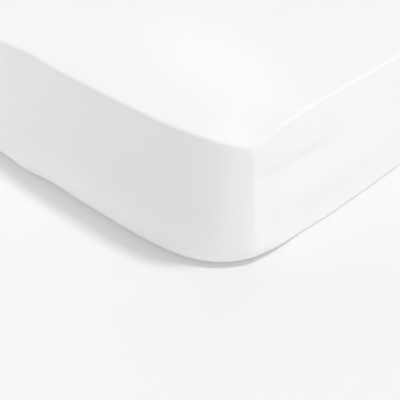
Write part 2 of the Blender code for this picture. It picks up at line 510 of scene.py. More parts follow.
    def sink(self, columns: Columns, ring: Ring) -> np.ndarray:
        """Finds how far the cloth sinks near each seam, on the top and on the upper wall.

        Args:
            columns: The columns.
            ring: The ring of points on them.

        Returns:
            The drop of each point.
        """
        roll = self.short_side.top_roll
        on_top = np.clip((self.droop_inset - ring.inset) / (self.droop_inset - roll), 0, 1)
        below = self.height - roll - ring.height
        on_wall = np.clip(1 - below / (self.droop_depth - roll), 0, 1)
        away = self.from_seam(columns) / self.droop_spread
        return self.droop * np.exp(-(away**2)) * (on_top * on_wall) ** self.droop_power

    def swing(self, places: tuple[np.ndarray, ...], height: Reals) -> np.ndarray:
        """Finds how far the waves of the edges move points of the wall in.

        Args:
            places: The points' X and Y, and those of their outward directions.
            height: Their heights.

        Returns:
            The inset of each point.
        """
        x, y, out_x, out_y = places
        total = np.zeros(len(x))
        for wave in self.waves:
            side_x, side_y = wave.side.value
            along = y if side_x else x
            away = (along - wave.along) / wave.half_length
            up = 2 * height / self.height - 1
            near = np.maximum(up if wave.level is Level.TOP else -up, 0.0) ** self.wave_power
            facing = smooth((out_x * side_x + out_y * side_y - self.wave_facing) / self.wave_facing_fade)
            hump = np.where(np.abs(away) < 1, np.cos(np.clip(away, -1, 1) * math.pi / 2) ** 2, 0.0)
            total += wave.inset * hump * near * facing
        return total

    def points(self, columns: Columns, ring: Ring, push: Reals = 0.0) -> np.ndarray:
        """Places a ring of the walls, of the outer part of the top or of the tucked band.

        Args:
            columns: The columns that the ring has a point on.
            ring: The ring.
            push: How much further in each point is pushed.

        Returns:
            The points, one row for each column.
        """
        share = np.interp(self.lean_with_seam(columns, ring.height), self.distances, self.shares)
        sign_x, sign_y = (self.of_corners(columns, name) for name in ("sign_x", "sign_y"))
        x, y, out_x, out_y = self.outline.quarter(share)
        x, y, out_x, out_y = sign_x * x, sign_y * y, sign_x * out_x, sign_y * out_y
        inset = ring.inset + self.lean_in(out_x, out_y, ring.height)
        inset = inset + self.swing((x, y, out_x, out_y), ring.height) + push
        x, y = x - inset * out_x, y - inset * out_y
        if ring.tuck:
            hem_x, hem_y, _, _ = self.hem_line.quarter(share)
            x = x + ring.tuck * (sign_x * hem_x - x)
            y = y + ring.tuck * (sign_y * hem_y - y)
        return np.column_stack([x, y, ring.height - self.sink(columns, ring)])

    def inner_points(self, columns: Columns, height: float, shrink: float) -> np.ndarray:
        """Places a ring of a panel's inner part, on the way to its spine.

        Args:
            columns: The columns.
            height: The panel's height.
            shrink: How far the ring has gone, of 1, from the panel's border to its spine.

        Returns:
            The points.
        """
        points = self.points(columns, Ring(self.droop_inset, height))
        spine_half = self.spine_share * self.length / 2
        spine_y = points[:, 1] * spine_half / (self.length / 2 - self.droop_inset)
        points[:, 0] -= shrink * points[:, 0]
        points[:, 1] += shrink * (spine_y - points[:, 1])
        return points


@dataclass(frozen=True)
class Row:
    """A ring of finished points, with what its flat map needs.

    The runs are the points' distances round the outline and the paths how far down the cloth they
    are. Where a row is flat, the map of the band before it is its plan.
    """

    points: np.ndarray
    runs: np.ndarray
    paths: Reals
    flat: bool

    def mapped(self, flat: bool) -> np.ndarray:
        """The points on the flat map."""
        rolled_out = np.column_stack([self.runs, np.broadcast_to(self.paths, self.runs.shape)])
        return self.points[:, :2] if flat else rolled_out


def make_smooth(name: str, points: np.ndarray, faces: list[tuple[int, ...]]) -> bpy.types.Object:
    """Makes a smooth shaded object.

    Args:
        name: Its name.
        points: Its points.
        faces: The points of each of its faces, by number.

    Returns:
        The object.
    """
    mesh = bpy.data.meshes.new(name)
    mesh.from_pydata(points.tolist(), [], faces)
    mesh.shade_smooth()
    made = bpy.data.objects.new(name, mesh)
    bpy.context.scene.collection.objects.link(made)
    return made


@dataclass
class Skin:
    """Points and faces of a surface that is skinned over rows, with a flat map of the cloth."""

    round_run: float
    points: list[np.ndarray] = field(default_factory=list)
    faces: list[tuple[int, ...]] = field(default_factory=list)
    map_of_faces: list[np.ndarray] = field(default_factory=list)
    count: int = 0
    last: Row | None = None

    def add(self, row: Row) -> None:
        """Adds a row, joined to the one before it or closed by a flat face if it is the first.

        Args:
            row: The row.
        """
        first = self.count
        self.points.append(row.points)
        self.count += len(row.points)
        if self.last is None:
            self.cap(first, row, upwards=True)
        elif len(self.last.points) == len(row.points):
            self.join_evenly(first - len(self.last.points), first, row)
        else:
            self.join_unevenly(first - len(self.last.points), first, row)
        self.last = row

    def closed_maps(self, row: Row) -> tuple[np.ndarray, np.ndarray]:
        """Finds the last row's and a new row's points on the flat map.

        Args:
            row: The new row.

        Returns:
            The two rows' points, each with its first again at the end.
        """
        shift = np.array([0.0 if row.flat else self.round_run, 0.0])
        upper, lower = self.last.mapped(row.flat), row.mapped(row.flat)
        return np.vstack([upper, upper[:1] + shift]), np.vstack([lower, lower[:1] + shift])

    def join_evenly(self, first: int, second: int, row: Row) -> None:
        """Joins a row to the last one with quads, as both have the same columns.

        Args:
            first: The last row's first point.
            second: The new row's first point.
            row: The new row.
        """
        upper, lower = self.closed_maps(row)
        many = len(row.points)
        for i in range(many):
            after = (i + 1) % many
            self.faces.append((first + i, second + i, second + after, first + after))
            self.map_of_faces.append(np.array([upper[i], lower[i], lower[i + 1], upper[i + 1]]))

    def join_unevenly(self, first: int, second: int, row: Row) -> None:
        """Joins a row to the last one with triangles, as their columns differ.

        Args:
            first: The last row's first point.
            second: The new row's first point.
            row: The new row.
        """
        upper, lower = self.closed_maps(row)
        many, others = len(self.last.points), len(row.points)
        ahead = np.append(self.last.runs, self.last.runs[0] + self.round_run)
        other_ahead = np.append(row.runs, row.runs[0] + self.round_run)
        i = j = 0
        while i < many or j < others:
            if j == others or (i < many and ahead[i + 1] <= other_ahead[j + 1]):
                self.faces.append((first + i % many, second + j % others, first + (i + 1) % many))
                self.map_of_faces.append(np.array([upper[i], lower[j], upper[i + 1]]))
                i += 1
            else:
                self.faces.append((first + i % many, second + j % others, second + (j + 1) % others))
                self.map_of_faces.append(np.array([upper[i], lower[j], lower[j + 1]]))
                j += 1

    def cap(self, first: int, row: Row, upwards: bool) -> None:
        """Closes a row with one flat face.

        Args:
            first: The row's first point.
            row: The row.
            upwards: Whether the face looks up.
        """
        order = list(range(len(row.points)))[:: 1 if upwards else -1]
        self.faces.append(tuple(first + i for i in order))
        self.map_of_faces.append(row.mapped(flat=True)[order])

    def close(self) -> None:
        """Closes the last row with a face that looks down."""
        self.cap(self.count - len(self.last.points), self.last, upwards=False)

    def make(self, name: str) -> bpy.types.Object:
        """Makes the object.

        Args:
            name: Its name.

        Returns:
            The object, smooth shaded, with the flat map as its UV map.
        """
        made = make_smooth(name, np.vstack(self.points), self.faces)
        layer = made.data.uv_layers.new(name="cloth_map")
        layer.data.foreach_set("uv", np.vstack(self.map_of_faces).astype(np.float32).ravel())
        made.data.validate()
        return made


def select_only(piece: bpy.types.Object) -> None:
    """Leaves one object selected and active.

    Args:
        piece: The object.
    """
    for other in bpy.context.scene.objects:
        other.select_set(False)
    piece.select_set(True)
    bpy.context.view_layer.objects.active = piece


def set_in_frame(piece: bpy.types.Object, node: str | None) -> None:
    """Fixes a finished piece to the bed.

    Args:
        piece: The piece.
        node: The node of the part that it stands for, if it does.
    """
    if node:
        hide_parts(node)
    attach(piece, BODY)
    piece.data.calc_loop_triangles()
    LOG.info("%s: %d triangles", piece.name, len(piece.data.loop_triangles))


class NodeChain:
    """A short way to add nodes to a tree and link them."""

    def __init__(self, tree: bpy.types.NodeTree) -> None:
        """Keeps the tree that the nodes go into."""
        self.tree = tree

    def put(self, node: bpy.types.Node, **values: object) -> None:
        """Links or sets inputs of a node.

        Args:
            node: The node.
            **values: Its inputs by name, with underscores for spaces, or as in_0 and in_1 by
                number: a socket is linked, and anything else is set.
        """
        for name, value in values.items():
            key = int(name[3:]) if name.startswith("in_") else name.replace("_", " ")
            if isinstance(value, bpy.types.NodeSocket):
                self.tree.links.new(value, node.inputs[key])
            else:
                node.inputs[key].default_value = value

    def add(self, kind: str, settings: dict | None = None, **values: object) -> bpy.types.Node:
        """Adds a node.

        Args:
            kind: The node's type, without its ShaderNode prefix.
            settings: Values of its properties.
            **values: Its inputs, as put takes them.

        Returns:
            The node.
        """
        node = self.tree.nodes.new("ShaderNode" + kind)
        for name, value in (settings or {}).items():
            setattr(node, name, value)
        self.put(node, **values)
        return node

    def math(self, operation: str, *values: object) -> bpy.types.NodeSocket:
        """Adds one step of arithmetic and gives its result."""
        numbers = {f"in_{i}": value for i, value in enumerate(values)}
        return self.add("Math", {"operation": operation}, **numbers).outputs[0]

    def scaled(self, vector: bpy.types.NodeSocket, by: tuple[float, float, float]) -> bpy.types.NodeSocket:
        """Adds a scaling of a vector, axis by axis, and gives its result."""
        return self.add("VectorMath", {"operation": "MULTIPLY"}, in_0=vector, in_1=by).outputs[0]

    def mix_colours(self, share: bpy.types.NodeSocket, first: tuple, second: tuple) -> bpy.types.NodeSocket:
        """Adds a mix of two colours and gives its result."""
        colours = {"in_6": (*first, 1.0), "in_7": (*second, 1.0)}
        return self.add("Mix", {"data_type": "RGBA"}, in_0=share, **colours).outputs[2]


def new_material(name: str) -> tuple[bpy.types.Material, NodeChain, bpy.types.Node]:
    """Starts a material.

    Args:
        name: Its name.

    Returns:
        The material, the chain of its nodes and its shader.
    """
    made = bpy.data.materials.new(name)
    made.use_nodes = True
    return made, NodeChain(made.node_tree), made.node_tree.nodes["Principled BSDF"]


def new_group(name: str, inputs: dict[str, float | None], outputs: tuple[str, ...]) -> NodeChain:
    """Starts a shader node group.

    Args:
        name: The group's name.
        inputs: Each input's value at first, or None for a vector.
        outputs: The names of its outputs, each a number.

    Returns:
        The chain of its nodes. It has a Group Input and a Group Output.
    """
    tree = bpy.data.node_groups.new(name, "ShaderNodeTree")
    for label, value in inputs.items():
        kind = "NodeSocketVector" if value is None else "NodeSocketFloat"
        socket = tree.interface.new_socket(label, in_out="INPUT", socket_type=kind)
        if value is not None:
            socket.default_value = value
    for label in outputs:
        tree.interface.new_socket(label, in_out="OUTPUT", socket_type="NodeSocketFloat")
    tree.nodes.new("NodeGroupInput")
    tree.nodes.new("NodeGroupOutput")
    return NodeChain(tree)


@cache
def plain_weave() -> bpy.types.NodeTree:
    """Builds the plain weave: threads that pass over and under each other, a little uneven.

    Returns:
        The group. Place is in metres, Threads counts them in a metre, and Slub is how far they
        differ in thickness. It puts out Height, 0 to 1, and Depth, a mask of the gaps.
    """
    arch_power, slub_lengthwise, slub_across = 0.35, 45.0, 900.0
    chain = new_group("plain_weave", {"Place": None, "Threads": 2400.0, "Slub": 0.2}, ("Height", "Depth"))
    given = chain.tree.nodes["Group Input"].outputs
    scaled = chain.add("VectorMath", {"operation": "SCALE"}, in_0=given["Place"], Scale=given["Threads"])
    parts = chain.add("SeparateXYZ", in_0=scaled.outputs[0])
    warp, weft = parts.outputs[0], parts.outputs[1]
    warp_arch = chain.math("ABSOLUTE", chain.math("SINE", chain.math("MULTIPLY", warp, math.pi)))
    weft_arch = chain.math("ABSOLUTE", chain.math("SINE", chain.math("MULTIPLY", weft, math.pi)))
    steps = chain.math("ADD", chain.math("FLOOR", warp), chain.math("FLOOR", weft))
    under = chain.math("FLOORED_MODULO", steps, 2.0)
    warp_over = chain.math("MULTIPLY", warp_arch, chain.math("POWER", weft_arch, arch_power))
    weft_over = chain.math("MULTIPLY", weft_arch, chain.math("POWER", warp_arch, arch_power))
    arch = chain.add("Mix", {"data_type": "FLOAT"}, in_0=under, in_2=warp_over, in_3=weft_over).outputs[0]
    lengthwise = chain.scaled(given["Place"], (slub_across, slub_lengthwise, 1.0))
    crosswise = chain.scaled(given["Place"], (slub_lengthwise, slub_across, 1.0))
    warp_slub = chain.add("TexNoise", None, Vector=lengthwise, Scale=1.0, Detail=2.0).outputs[0]
    weft_slub = chain.add("TexNoise", None, Vector=crosswise, Scale=1.0, Detail=2.0).outputs[0]
    slub = chain.math("SUBTRACT", chain.math("ADD", warp_slub, weft_slub), 1.0)
    height = chain.math("ADD", arch, chain.math("MULTIPLY", slub, given["Slub"]))
    chain.put(chain.tree.nodes["Group Output"], Height=height, Depth=chain.math("SUBTRACT", 1.0, arch))
    return chain.tree


@cache
def soft_mottle() -> bpy.types.NodeTree:
    """Builds soft cloudy patches, as handled cloth and painted floors have.

    Returns:
        The group. Place is in metres and Patches counts them in a metre. It puts out Patch, 0 to 1.
    """
    chain = new_group("soft_mottle", {"Place": None, "Patches": 8.0}, ("Patch",))
    given = chain.tree.nodes["Group Input"].outputs
    sizes = {"Scale": given["Patches"], "Detail": 3.0, "Roughness": 0.45}
    noise = chain.add("TexNoise", None, Vector=given["Place"], **sizes)
    limits = {"From_Min": 0.3, "From_Max": 0.7}
    eased = chain.add("MapRange", {"interpolation_type": "SMOOTHSTEP"}, in_0=noise.outputs[0], **limits)
    chain.put(chain.tree.nodes["Group Output"], Patch=eased.outputs[0])
    return chain.tree


@cache
def floor_painted_shade_mask() -> bpy.types.NodeTree:
    """Builds the mask of the floor's painted shade beside a long block: how open a place on the floor is, by
    how far it is from the block.

    Returns:
        The group. Place is in metres, Half Width and Half Length are the block's, and Rise its
        height. It puts out Open, from 0 beside the block to 1 far from it.
    """
    inputs = {"Place": None, "Half Width": 0.5, "Half Length": 1.0, "Rise": 0.2}
    chain = new_group("floor_painted_shade_mask", inputs, ("Open",))
    given = chain.tree.nodes["Group Input"].outputs
    parts = chain.add("SeparateXYZ", in_0=given["Place"])
    squares = []
    for axis, half in enumerate(("Half Width", "Half Length")):
        past = chain.math("SUBTRACT", chain.math("ABSOLUTE", parts.outputs[axis]), given[half])
        squares.append(chain.math("POWER", chain.math("MAXIMUM", past, 0.0), 2.0))
    away = chain.math("ADD", *squares)
    slant = chain.math("ADD", away, chain.math("POWER", given["Rise"], 2.0))
    out_of_painted_shade = chain.math("SQRT", chain.math("DIVIDE", away, slant))
    chain.put(chain.tree.nodes["Group Output"], Open=out_of_painted_shade)
    return chain.tree


@dataclass(frozen=True)
class WovenFinish:
    """A woven cloth's finish."""

    name: str
    light: tuple[float, float, float]
    deep: tuple[float, float, float]
    threads: float
    slub: float
    roughness: float
    sheen: float
    relief: float
    relief_strength: float
    mottle: float
    sheen_roughness: float = 0.45
    specular: float = 0.25
    patches: float = 9.0
    gap_painted_shade: float = 0.35

    def material(self) -> bpy.types.Material:
        """Makes the material, on the cloth's own flat map.

        Returns:
            The material.
        """
        made, chain, shader = new_material(self.name)
        place = chain.add("UVMap", {"uv_map": "cloth_map"}).outputs[0]
        sizes = {"Threads": self.threads, "Slub": self.slub}
        weave = chain.add("Group", {"node_tree": plain_weave()}, Place=place, **sizes)
        patch = chain.add("Group", {"node_tree": soft_mottle()}, Place=place, Patches=self.patches)
        # Painted shade: the weave's gaps are darkened in the colour, and the soft mottle adds a real random
        # tone on top.
        painted_gap_shade = chain.math("MULTIPLY", weave.outputs["Depth"], self.gap_painted_shade)
        shade = chain.math("ADD", painted_gap_shade, chain.math("MULTIPLY", patch.outputs["Patch"], self.mottle))
        sizes = {"Strength": self.relief_strength, "Distance": self.relief}
        bump = chain.add("Bump", None, Height=weave.outputs["Height"], **sizes)
        colour = chain.mix_colours(shade, self.light, self.deep)
        chain.put(shader, Base_Color=colour, Normal=bump.outputs[0])
        chain.put(shader, Roughness=self.roughness, Specular_IOR_Level=self.specular)
        chain.put(shader, Sheen_Weight=self.sheen, Sheen_Roughness=self.sheen_roughness)
        return made


@dataclass(frozen=True)
class ThreadFinish:
    """Sewing thread, with soft patches along it."""

    name: str
    light: tuple[float, float, float]
    deep: tuple[float, float, float]
    roughness: float
    patches: float
    specular: float = 0.2

    def material(self) -> bpy.types.Material:
        """Makes the material, on object coordinates.

        Returns:
            The material.
        """
        made, chain, shader = new_material(self.name)
        place = chain.add("TexCoord").outputs["Object"]
        patch = chain.add("Group", {"node_tree": soft_mottle()}, Place=place, Patches=self.patches)
        colour = chain.mix_colours(patch.outputs["Patch"], self.light, self.deep)
        chain.put(shader, Base_Color=colour, Roughness=self.roughness, Specular_IOR_Level=self.specular)
        return made


@dataclass(frozen=True)
class FloorFinish:
    """A pale studio floor with a painted glow: it shines a little though it is no lamp, lightening the floor
    and the shadow by the bed, and shines less beside the bed as painted shade.
    """

    name: str
    shade: float
    roughness: float
    painted_glow_beside: float
    painted_glow_open: float
    specular: float = 0.1
    patches: float = 1.5
    patch_shade: float = 0.995

    def material(self, bed: BedShape) -> bpy.types.Material:
        """Makes the material, on object coordinates.

        Args:
            bed: The bed that stands on the floor.

        Returns:
            The material.
        """
        made, chain, shader = new_material(self.name)
        place = chain.add("TexCoord").outputs["Object"]
        patch = chain.add("Group", {"node_tree": soft_mottle()}, Place=place, Patches=self.patches)
        shades = ((self.shade,) * 3, (self.patch_shade * self.shade,) * 3)
        base = chain.mix_colours(patch.outputs["Patch"], *shades)
        # Painted glow: the floor's emission lightens it and the shadow by the bed, and is weaker beside the
        # bed as painted shade.
        sizes = {"Half Width": bed.width / 2, "Half Length": bed.length / 2, "Rise": bed.height}
        out_of_painted_shade = chain.add("Group", {"node_tree": floor_painted_shade_mask()}, Place=place, **sizes).outputs["Open"]
        glow = chain.mix_colours(out_of_painted_shade, (self.painted_glow_beside,) * 3, (self.painted_glow_open,) * 3)
        chain.put(shader, Base_Color=base, Roughness=self.roughness, Specular_IOR_Level=self.specular)
        chain.put(shader, Emission_Color=glow, Emission_Strength=1.0)
        return made


WHITE_COTTON = WovenFinish(
    name="white_cotton",
    light=(0.955, 0.955, 0.953),
    deep=(0.920, 0.920, 0.920),
    threads=2400.0,
    slub=0.25,
    roughness=0.88,
    sheen=0.08,
    relief=0.00012,
    relief_strength=0.35,
    mottle=0.10,
)
MATTRESS_TICKING = WovenFinish(
    name="mattress_ticking",
    light=(0.80, 0.79, 0.76),
    deep=(0.66, 0.65, 0.62),
    threads=900.0,
    slub=0.30,
    roughness=0.92,
    sheen=0.05,
    relief=0.0004,
    relief_strength=0.6,
    mottle=0.15,
)
COTTON_THREAD = ThreadFinish("cotton_thread", (0.93, 0.93, 0.925), (0.88, 0.88, 0.88), 0.7, 900.0)
PALE_FLOOR = FloorFinish("pale_floor", shade=0.74, roughness=0.95, painted_glow_beside=0.130, painted_glow_open=0.198)


@dataclass(frozen=True)
class Puckers:
    """The small puckers that the thread draws beside a seam, as waves down the wall.

    The turns are radians to a metre, the drift and the lag from one corner to the next are radians,
    and the middle is where they stand highest, negative on the short side of the seam.
    """

    rise: float = 0.00022
    turns: float = 470.0
    drift: float = 1.3
    drift_turns: float = 61.0
    lag: float = 1.9
    middle: float = -0.002
    reach: float = 0.007

    def rise_at(self, corner: np.ndarray, away: np.ndarray, height: np.ndarray) -> np.ndarray:
        """Finds how far the puckers stand out.

        Args:
            corner: The number of each point's corner.
            away: How far each point is from the seam.
            height: Its height on the wall.

        Returns:
            The rise at each point.
        """
        lag = corner * self.lag
        drift = self.drift * np.sin(height * self.drift_turns + lag)
        near = np.exp(-np.abs(away - self.middle) / self.reach)
        return self.rise * np.sin(height * self.turns + drift + lag) * near


@dataclass(frozen=True)
class CornerSeam:
    """The seam down a corner: a ridge with a hollow beside it, and puckers.

    The rises are in millimetres. Each of their rows is at one of the heights, and has a rise for
    each of the distances away from the seam, positive towards the long side. The columns are the
    distances that the cloth's points lie at.
    """

    puckers: Puckers = Puckers()
    fade: float = 0.018
    away: tuple[float, ...] = (
        -0.034, -0.026, -0.018, -0.010, -0.0075, -0.004, -0.001, 0.0, 0.0012, 0.006, 0.011, 0.014, 0.020,
        0.028, 0.038, 0.046,
    )
    heights: tuple[float, ...] = (0.030, 0.085, 0.110, 0.134, 0.151)
    rises: tuple[tuple[float, ...], ...] = (
        (0, 0.4, 1.1, 1.95, 2.25, 2.2, 2.15, 2.4, 2.2, 1.6, 0.8, 0.2, -0.4, -0.5, -0.1, 0),
        (0, 0.4, 1.1, 1.95, 2.25, 2.2, 2.15, 2.4, 2.1, 1.0, -0.1, -0.45, -0.6, -0.45, -0.1, 0),
        (0, 0.2, 0.75, 1.75, 2.15, 2.75, 3.35, 3.5, 3.15, 1.85, 0.65, 0.25, 0.05, 0.05, 0.05, 0),
        (0, 0.2, 0.75, 1.75, 2.15, 2.75, 3.35, 3.5, 3.15, 1.85, 0.65, 0.25, 0.05, 0.05, 0.05, 0),
        (0, 0.2, 0.75, 1.75, 2.15, 2.75, 3.35, 3.5, 3.1, 2.6, 2.0, 1.6, 0.95, 0.35, 0.1, 0),
    )
    columns: tuple[float, ...] = (
        -0.038, -0.032, -0.027, -0.0225, -0.019, -0.016, -0.0135, -0.0115, -0.010, -0.0088, -0.0076, -0.006,
        -0.0045, -0.003, -0.0018, -0.0009, -0.0003, 0.0003, 0.0009, 0.0016, 0.0028, 0.0042, 0.0056, 0.007,
        0.0085, 0.010, 0.0115, 0.013, 0.0145, 0.0165, 0.019, 0.022, 0.025, 0.0275, 0.0295, 0.031, 0.0325,
        0.034, 0.0355, 0.0375, 0.041, 0.046,
    )

    def rise_at(self, corner: np.ndarray, away: np.ndarray, height: np.ndarray) -> np.ndarray:
        """Finds how far the seam's ridge and puckers stand out.

        Args:
            corner: The number of each point's corner.
            away: How far each point is from the seam.
            height: Its height on the wall.

        Returns:
            The rise at each point, which is negative in the hollow.
        """
        sections = np.array([np.interp(away, self.away, rises) for rises in self.rises])
        place = np.interp(height, self.heights, range(len(sections)))
        under = np.minimum(place.astype(int), len(sections) - 2)
        each = np.arange(len(away))
        low, high = sections[under, each], sections[under + 1, each]
        ridge = (low + (place - under) * (high - low)) * MILLIMETRE
        return ridge + self.puckers.rise_at(corner, away, height)


@dataclass(frozen=True)
class Gathers:
    """The gathers that the elastic draws the hem into, deeper round the corners.

    Each drift of their spacing has its size in radians, how many times it comes round the hem, and
    where it starts. The gathers grow over a share of the way from the floor roll to the hem line.
    """

    lift: float = 0.0011
    swing: float = 0.0022
    count: int = 176
    drifts: tuple[tuple[float, int, float], ...] = ((1.6, 20, 0.0), (0.8, 48, 1.0))
    along_sides: float = 0.35
    corner_reach: float = 0.22
    swing_lag: float = 0.8
    start: float = 0.15
    growth: float = 0.8

    def at(self, turn: np.ndarray, distance: np.ndarray, tuck: float) -> tuple[np.ndarray, np.ndarray]:
        """Finds the gathers' shape on a ring of the band.

        Args:
            turn: How far round the hem each point is, as an angle.
            distance: How far it is from its corner's middle.
            tuck: How far the ring has gone, of 1, from the floor roll to the hem line.

        Returns:
            How far each point is lifted, and how far it swings inwards.
        """
        uneven = sum(far * np.sin(times * turn + lag) for far, times, lag in self.drifts)
        wave = np.sin(self.count * turn + uneven)
        swing = np.sin(self.count / 2 * turn + uneven + self.swing_lag)
        at_corner = np.exp(-((distance / self.corner_reach) ** 2))
        strength = self.along_sides + (1 - self.along_sides) * at_corner
        grown = float(smooth((tuck - self.start) / self.growth))
        return self.lift * ((0.5 + 0.5 * wave) * strength) * grown, self.swing * (swing * strength) * grown


@dataclass
class FittedSheet:
    """The sheet: its top, its walls, the corner seams, the band tucked under and the elastic hem.

    The hem's section is given by shares of its width, from the band to its edge, and of its rise. Each
    corner has its own wall folds, placed by how far along the outline from the corner's middle they
    are, positive towards the long side, and by their height. The top's folds are placed in plan.
    """

    bed: BedShape
    flat_size: tuple[float, float] = (1.53, 2.63)
    flat_area: float = 3.40
    cloth: float = 0.0008
    hem_width: float = 0.014
    hem_rise: float = 0.0027
    stitch_line: float = 0.0125
    stitch_groove: float = 0.00035
    hem_section: tuple[tuple[float, float], ...] = (
        (0.50, 0.0), (0.85, 0.0), (0.96, 0.15), (1.0, 0.5), (0.96, 0.89), (0.85, 1.0), (0.50, 1.0),
        (0.15, 0.88), (0.02, 0.78),
    )
    seam: CornerSeam = CornerSeam()
    gathers: Gathers = Gathers()
    innermost: float = 0.985
    inner_steps: int = 24
    inner_step: float = 0.030
    steps: Steps = Steps(border=16, roll=5, wall=33)
    band_steps: int = 4
    hem_step: float = 0.0041
    corner_span: tuple[float, float] = (-0.170, 0.190)
    seam_gap: float = 0.008
    corner_step: float = 0.0095
    short_gap: float = 0.012
    short_step: float = 0.018
    long_gap: float = 0.014
    long_step: float = 0.022
    fold_fade: float = 0.03
    wall_folds: tuple[tuple[Fold, ...], ...] = (
        (
            Fold((0.048, 0.1270), (0.195, 0.1255), 0.0100, 0.0031, 4.0),
            Fold((0.036, 0.178), (0.042, 0.168), 0.0024, -0.0003),
            Fold((0.160, 0.1240), (0.202, 0.1430), 0.006, 0.0009, 3.0),
            Fold((0.0745, 0.085), (0.0780, 0.008), 0.0028, 0.0005),
            Fold((-0.150, 0.175), (-0.195, 0.030), 0.035, 0.0012),
            Fold((-0.095, 0.165), (-0.085, 0.050), 0.022, -0.0006),
            Fold((-0.300, 0.180), (-0.360, 0.020), 0.045, 0.0010),
            Fold((0.132, 0.060), (0.140, 0.004), 0.011, 0.0009),
            Fold((0.400, 0.170), (0.520, 0.040), 0.045, 0.0014),
        ),
        (
            Fold((-0.170, 0.170), (-0.220, 0.030), 0.035, 0.0014),
            Fold((0.120, 0.150), (0.240, 0.040), 0.030, 0.0012),
            Fold((0.480, 0.170), (0.420, 0.030), 0.050, 0.0014),
        ),
        (
            Fold((-0.130, 0.160), (-0.160, 0.040), 0.030, 0.0010),
            Fold((0.150, 0.170), (0.210, 0.030), 0.035, 0.0014),
            Fold((0.520, 0.150), (0.640, 0.060), 0.045, 0.0012),
        ),
        (
            Fold((-0.140, 0.165), (-0.210, 0.040), 0.035, 0.0012),
            Fold((0.130, 0.150), (0.190, 0.030), 0.030, 0.0013),
            Fold((0.420, 0.170), (0.470, 0.040), 0.045, 0.0012),
        ),
    )
    top_folds: tuple[Fold, ...] = (
        Fold((0.390, -0.914), (0.412, -0.885), 0.0050, -0.0004),
        Fold((0.419, -0.912), (0.440, -0.885), 0.0045, -0.0004),
        Fold((0.417, -0.937), (0.449, -0.899), 0.0045, -0.0004),
        Fold((0.428, -0.947), (0.444, -0.921), 0.0040, -0.0003),
        Fold((0.368, -0.925), (0.390, -0.898), 0.0050, -0.0003),
        Fold((0.425, -0.895), (0.375, -0.800), 0.012, 0.0004),
        Fold((0.345, -0.955), (0.250, -0.900), 0.012, 0.0003),
        Fold((0.10, -0.75), (0.22, -0.30), 0.10, 0.0012),
        Fold((-0.20, -0.60), (-0.10, 0.10), 0.12, 0.0010),
        Fold((0.25, 0.10), (0.05, 0.62), 0.11, 0.0012),
        Fold((-0.30, 0.75), (-0.15, 0.35), 0.09, 0.0010),
        Fold((0.395, 0.905), (0.330, 0.830), 0.014, 0.0006),
        Fold((-0.395, 0.910), (-0.320, 0.840), 0.015, 0.0006),
        Fold((-0.400, -0.905), (-0.330, -0.840), 0.014, 0.0005),
    )

    def wall_columns(self) -> Columns:
        """Lays the walls' columns, closest at the seams and closer in the corners than along the sides.

        Returns:
            The columns.
        """
        bed = self.bed
        first, last = bed.distances[0], bed.distances[-1]
        found = []
        for corner in bed.corners:
            seam = corner.seam_middle + np.array(self.seam.columns)
            before = np.arange(seam[0] - self.seam_gap, self.corner_span[0], -self.corner_step)[::-1]
            after = np.arange(seam[-1] + self.seam_gap, self.corner_span[1], self.corner_step)
            short_count = round((before[0] - first) / self.short_step)
            short = np.linspace(first, before[0] - self.short_gap, short_count)
            long = np.linspace(after[-1] + self.long_gap, last, round((last - after[-1]) / self.long_step))
            found.append(np.concatenate([short, before, seam, after, long]))
        return bed.columns(found)

    def seam_push(self, columns: Columns, height: Reals) -> np.ndarray:
        """Finds how far each seam's ridge, hollow and puckers push points in.

        Args:
            columns: The columns.
            height: The height of each point on them.

        Returns:
            The push of each point, which is negative outwards.
        """
        bed = self.bed
        height = np.broadcast_to(height, len(columns))
        rise = self.seam.rise_at(columns.corner, bed.from_seam(columns), height)
        below_top, above_floor = (bed.height - height) / self.seam.fade, height / bed.short_side.floor_roll
        return -rise * (smooth(below_top) * np.clip(above_floor, 0, 1))

    def fold_push(self, columns: Columns, height: Reals) -> np.ndarray:
        """Finds how far the wall's soft folds push points in.

        Args:
            columns: The columns.
            height: The height of each point on them.

        Returns:
            The push of each point.
        """
        total = np.zeros(len(columns))
        for number, folds in enumerate(self.wall_folds):
            depth = sum(fold.depth_at(columns.distance, height) for fold in folds)
            total += np.where(columns.corner == number, depth, 0.0)
        return total

    def top_drop(self, points: np.ndarray) -> np.ndarray:
        """How far the top's soft folds drop points."""
        return sum(fold.depth_at(points[:, 0], points[:, 1]) for fold in self.top_folds)

    def wall_points(self, columns: Columns, ring: Ring) -> np.ndarray:
        """Places a ring of the walls or of the top's outer part.

        Args:
            columns: The columns.
            ring: The ring.

        Returns:
            The points.
        """
        push = self.seam_push(columns, ring.height)
        on_wall = smooth((self.bed.height - ring.height) / self.fold_fade)
        points = self.bed.points(columns, ring, push + on_wall * self.fold_push(columns, ring.height))
        points[:, 2] -= self.top_drop(points) * (1 - on_wall)
        return points

    def hem_points(self, columns: Columns, ring: Ring) -> np.ndarray:
        """Places a ring of the band under the mattress or of its hem, with the gathers.

        Args:
            columns: The columns.
            ring: The ring.

        Returns:
            The points.
        """
        points = self.bed.points(columns, ring)
        lift, swing = self.gathers.at(self.bed.turn_round_hem(columns), columns.distance, ring.tuck)
        inward = -points[:, :2] / np.linalg.norm(points[:, :2], axis=1)[:, None]
        points[:, :2] += inward * swing[:, None]
        points[:, 2] += lift
        return points

